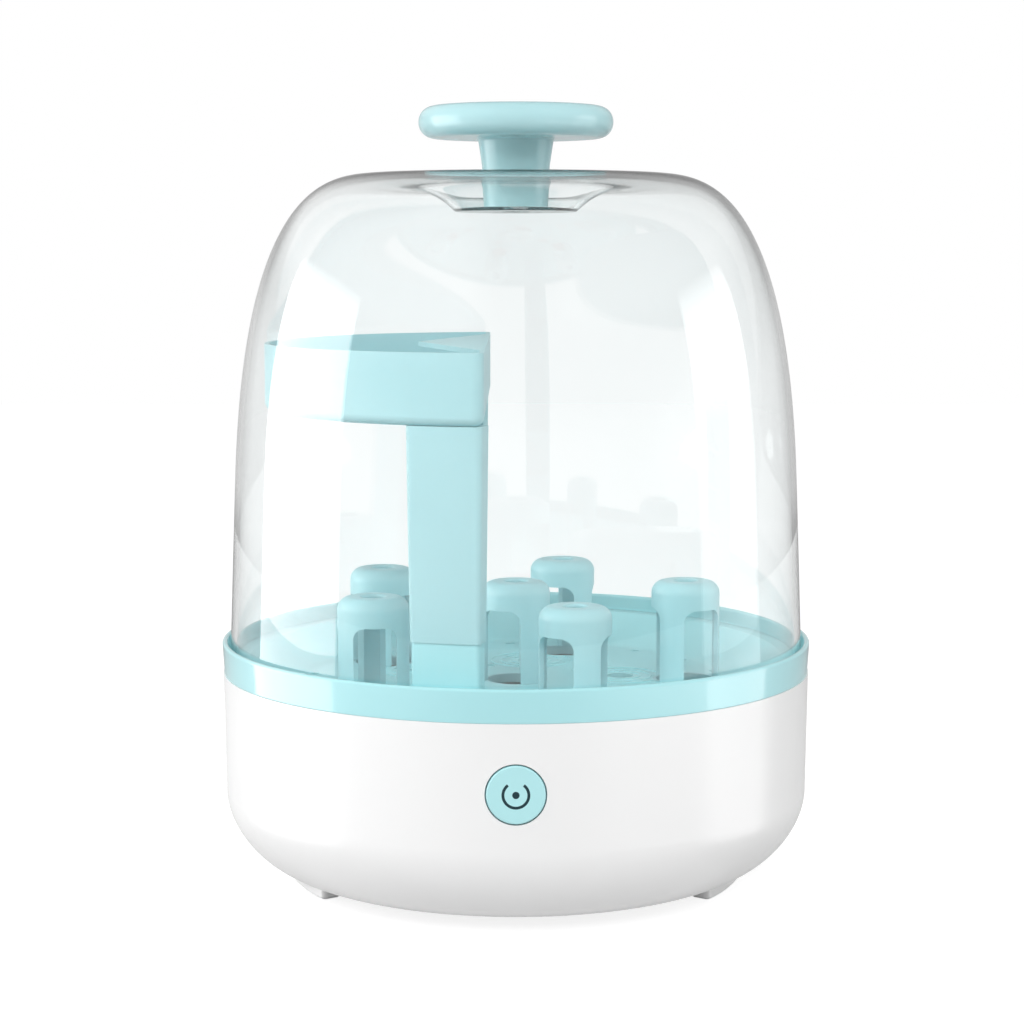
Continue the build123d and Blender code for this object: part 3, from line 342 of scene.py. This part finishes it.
def dome_side(inset):
    """One skin from the foot up to the crest: a straight run to the shoulder, and a cubic curve that leaves
    it in line and comes to the crest level."""
    shoulder = bezier(
        [
            (shoulder_radius - inset, shoulder_z),
            (shoulder_radius - inset - lean, crest_z - inset),
            (crest_radius + crest_handle, crest_z - inset),
            (crest_radius, crest_z - inset),
        ],
        side_steps,
    )
    return np.concatenate([[(foot_radius - inset, foot_z)], shoulder])


dish = rounded(
    [
        (crest_radius, crest_z),
        (dish_radius + dish_depth, crest_z),
        (dish_radius, dish_z),
        (vent_outer, dish_z),
    ],
    [brim_round, dish_round], dish_steps,
)
dish_under = rounded(
    [
        (crest_radius, crest_z - wall),
        (dish_radius + slant + dish_depth, crest_z - wall),
        (dish_radius + slant, dish_z - wall),
        (vent_outer, dish_z - wall),
    ],
    [brim_round + wall, dish_round], dish_steps,
)
boss = rounded(
    [
        (vent_inner, dish_z),
        (boss_radius, dish_z),
        (boss_radius, boss_z),
        (hole_radius, boss_z),
        (hole_radius, boss_z - wall),
        (boss_radius - wall, boss_z - wall),
        (boss_radius - wall, dish_z - wall),
        (vent_inner, dish_z - wall),
    ],
    [0, boss_round, 0, 0, boss_round, boss_round], boss_steps,
)
skin = np.concatenate([dish_under[::-1], dome_side(wall)[::-1], dome_side(0), dish])


def vent_ring():
    """The dish's floor between two circles: plain, except for five equal sectors with a hole in the middle
    of each. There a grid runs from the sector's outline straight towards its centre to the hole, over the
    top, down the hole and back along the underside."""
    plain = np.radians(np.arange(vent_end, vent_start + 361))
    down = np.linspace(vent_outer, vent_inner, vent_rows + 1)
    for height in (dish_z, dish_z - wall):
        yield turned(np.stack([down, np.full(vent_rows + 1, height)], 1), plain), False
    half = vent_turn / 2
    across = np.radians(np.linspace(-half, half, vent_turn + 1))
    r = np.concatenate([
        np.full(vent_turn, vent_outer), down[:-1], np.full(vent_turn, vent_inner), down[::-1][:-1],
    ])
    a = np.concatenate([
        across[:-1], np.full(vent_rows, across[-1]), across[::-1][:-1], np.full(vent_rows, across[0]),
    ])
    outline = np.stack([r * np.cos(a), r * np.sin(a)], -1)
    centre = np.array([vent_circle, 0.0])
    way = outline - centre
    hole = centre + vent_radius * way / np.linalg.norm(way, axis=1)[:, None]
    shares = np.array([0, 0.3, 0.6, 0.85, 1.0])[:, None, None]
    flat = outline * (1 - shares) + hole * shares
    top = np.concatenate([flat, np.full((*flat.shape[:2], 1), dish_z)], -1)
    under = np.concatenate([flat, np.full((*flat.shape[:2], 1), dish_z - wall)], -1)
    sector = np.concatenate([top, under[::-1]])
    for turn in np.radians(vent_start + vent_turn * (np.arange(vents) + 0.5)):
        x = sector[..., 0] * np.cos(turn) - sector[..., 1] * np.sin(turn)
        y = sector[..., 0] * np.sin(turn) + sector[..., 1] * np.cos(turn)
        yield np.stack([x, y, sector[..., 2]], -1), True


full_turn = np.radians(np.arange(360))
skin_grid = turned(dense(skin, skin_row), full_turn)
boss_grid = turned(dense(boss, boss_row), full_turn)
dome = welded("clear_dome", [(skin_grid, True), (boss_grid, True), *vent_ring()], crease)

polycarbonate_ior = 1.585
flow_mm = 40
glassy, tree = new_material("clear_polycarbonate")
place = add(tree, "ShaderNodeTexCoord").outputs["Object"]
flow = add(tree, "ShaderNodeTexNoise", {"Vector": place}, {"Scale": 1000 / flow_mm, "Detail": 1.0})
ripple = add(tree, "ShaderNodeBump", {"Height": flow.outputs["Fac"]}, {"Strength": 0.01, "Distance": 0.0002})
clear = add(
    tree, "ShaderNodeBsdfPrincipled", {"Normal": ripple.outputs["Normal"]},
    {
        "Base Color": linear("#FCFEFE"),
        "Roughness": 0.01,
        "IOR": polycarbonate_ior,
        "Transmission Weight": 1.0,
    },
)
shadow_way = add(tree, "ShaderNodeBsdfTransparent", inputs={"Color": linear("#FDFEFE")})
path = add(tree, "ShaderNodeLightPath")
both = add(
    tree, "ShaderNodeMixShader",
    {0: path.outputs["Is Shadow Ray"], 1: clear.outputs["BSDF"], 2: shadow_way.outputs["BSDF"]},
)
add(tree, "ShaderNodeOutputMaterial", {"Surface": both.outputs["Shader"]})
dome.data.materials.append(glassy)
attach(dome, "lid")
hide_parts("lid_dome")

# Lid knob. A mint polypropylene moulding with a higher gloss than the rack, so its round edge shows
# bright lines. It is fastened with a screw from below, through the boss in the lid.
glossy_mint = moulded(
    "glossy_mint_polypropylene", "#BAE0E4", "#B4DCE0", rough=0.16, peel_mm=2.0, peel=0.02, inside=0.4
)
paint(glossy_mint, "lid_knob")

# Studio. A pale floor that shows white from above and is clear from below, a white surround, five
# softboxes, and a grey surround that only reflections show, which draws the clear lid. Sizes are in
# metres.


def shows_white(tree):
    """One where a ray comes from the camera or through gloss or glass, with no matt surface before."""
    rays = add(tree, "ShaderNodeLightPath")
    both = add(
        tree, "ShaderNodeMath",
        {0: rays.outputs["Is Camera Ray"], 1: rays.outputs["Is Glossy Ray"]}, operation="MAXIMUM",
    )
    three = add(
        tree, "ShaderNodeMath",
        {0: both.outputs["Value"], 1: rays.outputs["Is Transmission Ray"]}, operation="MAXIMUM",
    )
    first = add(
        tree, "ShaderNodeMath", {0: rays.outputs["Diffuse Depth"]}, {1: 0.5}, operation="LESS_THAN"
    )
    return add(
        tree, "ShaderNodeMath", {0: three.outputs["Value"], 1: first.outputs["Value"]}, operation="MULTIPLY"
    ).outputs["Value"]


floor_size, floor_glow, shadow_grey = 6.0, 0.83, 0.35
bpy.ops.mesh.primitive_plane_add(size=floor_size)
floor = bpy.context.object
floor.name = "floor"
floor_paint, tree = new_material("pale_floor")
matt = add(tree, "ShaderNodeBsdfDiffuse", inputs={"Color": linear("#D2D2D2")})
shadowed = add(tree, "ShaderNodeBsdfDiffuse", inputs={"Color": (shadow_grey, shadow_grey, shadow_grey, 1.0)})
glow = add(tree, "ShaderNodeEmission", inputs={"Strength": floor_glow})
seen = add(tree, "ShaderNodeAddShader", {0: shadowed.outputs["BSDF"], 1: glow.outputs["Emission"]})
either = add(
    tree, "ShaderNodeMixShader",
    {0: shows_white(tree), 1: matt.outputs["BSDF"], 2: seen.outputs["Shader"]},
)
below = add(tree, "ShaderNodeNewGeometry").outputs["Backfacing"]
hidden = add(tree, "ShaderNodeBsdfTransparent")
one_sided = add(
    tree, "ShaderNodeMixShader", {0: below, 1: either.outputs["Shader"], 2: hidden.outputs["BSDF"]}
)
add(tree, "ShaderNodeOutputMaterial", {"Surface": one_sided.outputs["Shader"]})
floor.data.materials.append(floor_paint)
floor.visible_glossy = False

ambient = 0.5
world = bpy.data.worlds.new("studio")
scene.world = world
world.use_nodes = True
tree = world.node_tree
tree.nodes.clear()
dim = add(tree, "ShaderNodeBackground", inputs={"Color": (1, 1, 1, 1), "Strength": ambient})
white = add(tree, "ShaderNodeBackground", inputs={"Color": (1, 1, 1, 1), "Strength": 1.0})
either = add(
    tree, "ShaderNodeMixShader",
    {0: shows_white(tree), 1: dim.outputs["Background"], 2: white.outputs["Background"]},
)
add(tree, "ShaderNodeOutputWorld", {"Surface": either.outputs["Shader"]})


def around(azimuth, height, distance):
    """A point round the object: azimuth is in degrees from the camera's side, positive to the right."""
    a = math.radians(azimuth)
    return Vector((distance * math.sin(a), -distance * math.cos(a), height))


def by_height(tree, place, stops):
    """A value that goes in straight lines between stops, which are heights in metres and values."""
    height = add(tree, "ShaderNodeSeparateXYZ", {"Vector": place}).outputs["Z"]
    low, span = stops[0][0], stops[-1][0] - stops[0][0]
    share = add(tree, "ShaderNodeMapRange", {"Value": height}, {"From Min": low, "From Max": low + span})
    steps = add(tree, "ShaderNodeValToRGB", {"Fac": share.outputs["Result"]})
    ramp = steps.color_ramp.elements
    for z, _ in stops[1:-1]:
        ramp.new((z - low) / span)
    for stop, (z, value) in zip(ramp, stops):
        stop.position = (z - low) / span
        stop.color = (value, value, value, 1.0)
    return steps.outputs["Color"]


def softbox(name, place, facing, width, height, radiance, levels=None, glossy=True):
    """An area lamp. Its power is the radiance times pi times its area. Levels are heights with the share of
    its light there, as where a diffuser is masked."""
    lamp = bpy.data.lights.new(name, "AREA")
    lamp.shape = "RECTANGLE"
    lamp.size, lamp.size_y = width, height
    lamp.energy = radiance * math.pi * width * height
    if levels:
        lamp.use_nodes = True
        tree = lamp.node_tree
        tree.nodes.clear()
        spot = add(tree, "ShaderNodeNewGeometry").outputs["Position"]
        shine = add(tree, "ShaderNodeEmission", {"Strength": by_height(tree, spot, levels)})
        add(tree, "ShaderNodeOutputLight", {"Surface": shine.outputs["Emission"]})
    thing = bpy.data.objects.new(name, lamp)
    scene.collection.objects.link(thing)
    thing.location = place
    thing.rotation_euler = (facing - place).to_track_quat("-Z", "Y").to_euler()
    thing.visible_glossy = glossy


middle = Vector((0, 0, 0.17))
side_height = 1.05
left, right = Vector((-1.0, 0.06, 0.175)), Vector((1.0, 0.0, 0.175))
lamp_foot = -0.4
soft_top = [(0.52, 1.0), (0.68, 0.0)]
softbox(
    "softbox_left", left, Vector((0, left.y, left.z)), width=0.84, height=side_height, radiance=3.5,
    levels=[(lamp_foot, 1.0), *soft_top],
)

# The right softbox is masked at the heights that the lid's side mirrors, where it would be too
# bright. The fill gives everything but mirrors the light that the mask takes.
mask_start, mask_full, mask_thin, mask_end = -0.05, 0.0, 0.26, 0.34
mask_share = 0.45
masked = [
    (lamp_foot, 1.0), (mask_start, 1.0), (mask_full, mask_share), (mask_thin, mask_share), (mask_end, 1.0),
    *soft_top,
]
taken = [
    (lamp_foot, 0.0), (mask_start, 0.0), (mask_full, 1 - mask_share), (mask_thin, 1 - mask_share),
    (mask_end, 0.0),
]
for name, levels, glossy in (("softbox_right", masked, True), ("softbox_right_fill", taken, False)):
    softbox(
        name, right, Vector((0, right.y, right.z)), width=0.58, height=side_height, radiance=2.2,
        levels=levels, glossy=glossy,
    )
above = around(azimuth=-20, height=1.4, distance=0.3)
ahead = around(azimuth=0, height=1.2, distance=1.3)
softbox("softbox_top", above, middle, width=1.2, height=0.8, radiance=0.2, glossy=False)
softbox("softbox_front", ahead, middle, width=2.0, height=1.0, radiance=2.75, glossy=False)

# The grey surround is a bell round the object. Its glow falls from left to right, rises towards the
# front and changes with height, and four soft patches of it are brighter.
bell_radius, bell_top = 1.35, 1.7
bell_wall = [(bell_radius, z) for z in (-1.2, -0.4, 0.2)]
bell_roof = bezier([(bell_radius, 0.6), (bell_radius, 1.3), (0.9, bell_top), (0.001, bell_top)], 16)
bell = turned(np.concatenate([bell_wall, bell_roof]), np.radians(np.arange(0, 360, 5)))
cards = placed("surround", *quads(bell))
grey_paint, tree = new_material("grey_cards")
where = add(tree, "ShaderNodeTexCoord").outputs["Object"]
place = add(tree, "ShaderNodeSeparateXYZ", {"Vector": where})
sideways = add(
    tree, "ShaderNodeMapRange", {"Value": place.outputs["X"]},
    {"From Min": -1.0, "From Max": 1.0, "To Min": 0.83, "To Max": 0.67},
)
forwards = add(
    tree, "ShaderNodeMapRange", {"Value": place.outputs["Y"]},
    {"From Min": -1.2, "From Max": -0.3, "To Min": 0.12, "To Max": 0.0},
)
glow_by_height = [
    (-0.2, 0.85), (-0.1, 0.42), (-0.02, 0.48), (0.05, 0.9), (0.28, 0.95), (0.42, 0.7), (0.8, 0.55),
    (1.5, 0.3),
]
across = add(tree, "ShaderNodeMath", {0: sideways.outputs["Result"], 1: forwards.outputs["Result"]})
plain_glow = add(
    tree, "ShaderNodeMath", {0: across.outputs["Value"], 1: by_height(tree, where, glow_by_height)},
    operation="MULTIPLY",
)

# Each patch has its extra glow, and axes with the two places between which it comes in.
low_front = [("Y", 0.1, -0.4), ("Z", -0.02, -0.1), ("Z", -0.35, -0.23)]
patches = [
    (0.45, [("X", -0.15, -0.6), ("Z", 0.45, 0.75)]),
    (0.22, [("X", 0.15, 0.6), ("Z", 0.6, 0.9)]),
    (0.9, [("X", -0.3, -1.0), *low_front]),
    (2.0, [("X", 0.3, 1.0), *low_front]),
]
grey = plain_glow.outputs["Value"]
for extra, fades in patches:
    patch = None
    for axis, first, last in fades:
        fade = add(
            tree, "ShaderNodeMapRange", {"Value": place.outputs[axis]},
            {"From Min": first, "From Max": last, "To Max": extra if patch is None else 1.0},
            interpolation_type="SMOOTHSTEP",
        ).outputs["Result"]
        if patch is None:
            patch = fade
        else:
            patch = add(tree, "ShaderNodeMath", {0: patch, 1: fade}, operation="MULTIPLY").outputs["Value"]
    grey = add(tree, "ShaderNodeMath", {0: grey, 1: patch}).outputs["Value"]
shade = add(tree, "ShaderNodeEmission", {"Strength": grey})
gone = add(tree, "ShaderNodeBsdfTransparent")
rays = add(tree, "ShaderNodeLightPath")
mirrored = add(
    tree, "ShaderNodeMath", {0: rays.outputs["Glossy Depth"]}, {1: 0.5}, operation="GREATER_THAN"
)
either = add(
    tree, "ShaderNodeMixShader",
    {0: mirrored.outputs["Value"], 1: gone.outputs["BSDF"], 2: shade.outputs["Emission"]},
)
add(tree, "ShaderNodeOutputMaterial", {"Surface": either.outputs["Shader"]})
cards.data.materials.append(grey_paint)
cards.visible_camera = cards.visible_diffuse = cards.visible_shadow = False

# Camera. The place, the tilt and the focal length were worked out from the ellipses of the rack's
# rim and of the knob. The shift puts the object as far off the middle as the photograph does.
camera_back, camera_height, camera_tilt = 1.01645, 0.27781, 6.617
lens = bpy.data.cameras.new("camera")
lens.lens = 81.08
lens.sensor_width = 36.0
lens.sensor_fit = "HORIZONTAL"
lens.shift_x = -0.0038
camera = bpy.data.objects.new("camera", lens)
scene.collection.objects.link(camera)
camera.location = (0.0, -camera_back, camera_height)
camera.rotation_euler = (math.radians(90 - camera_tilt), 0.0, 0.0)
scene.camera = camera
scene.view_settings.view_transform = "Standard"
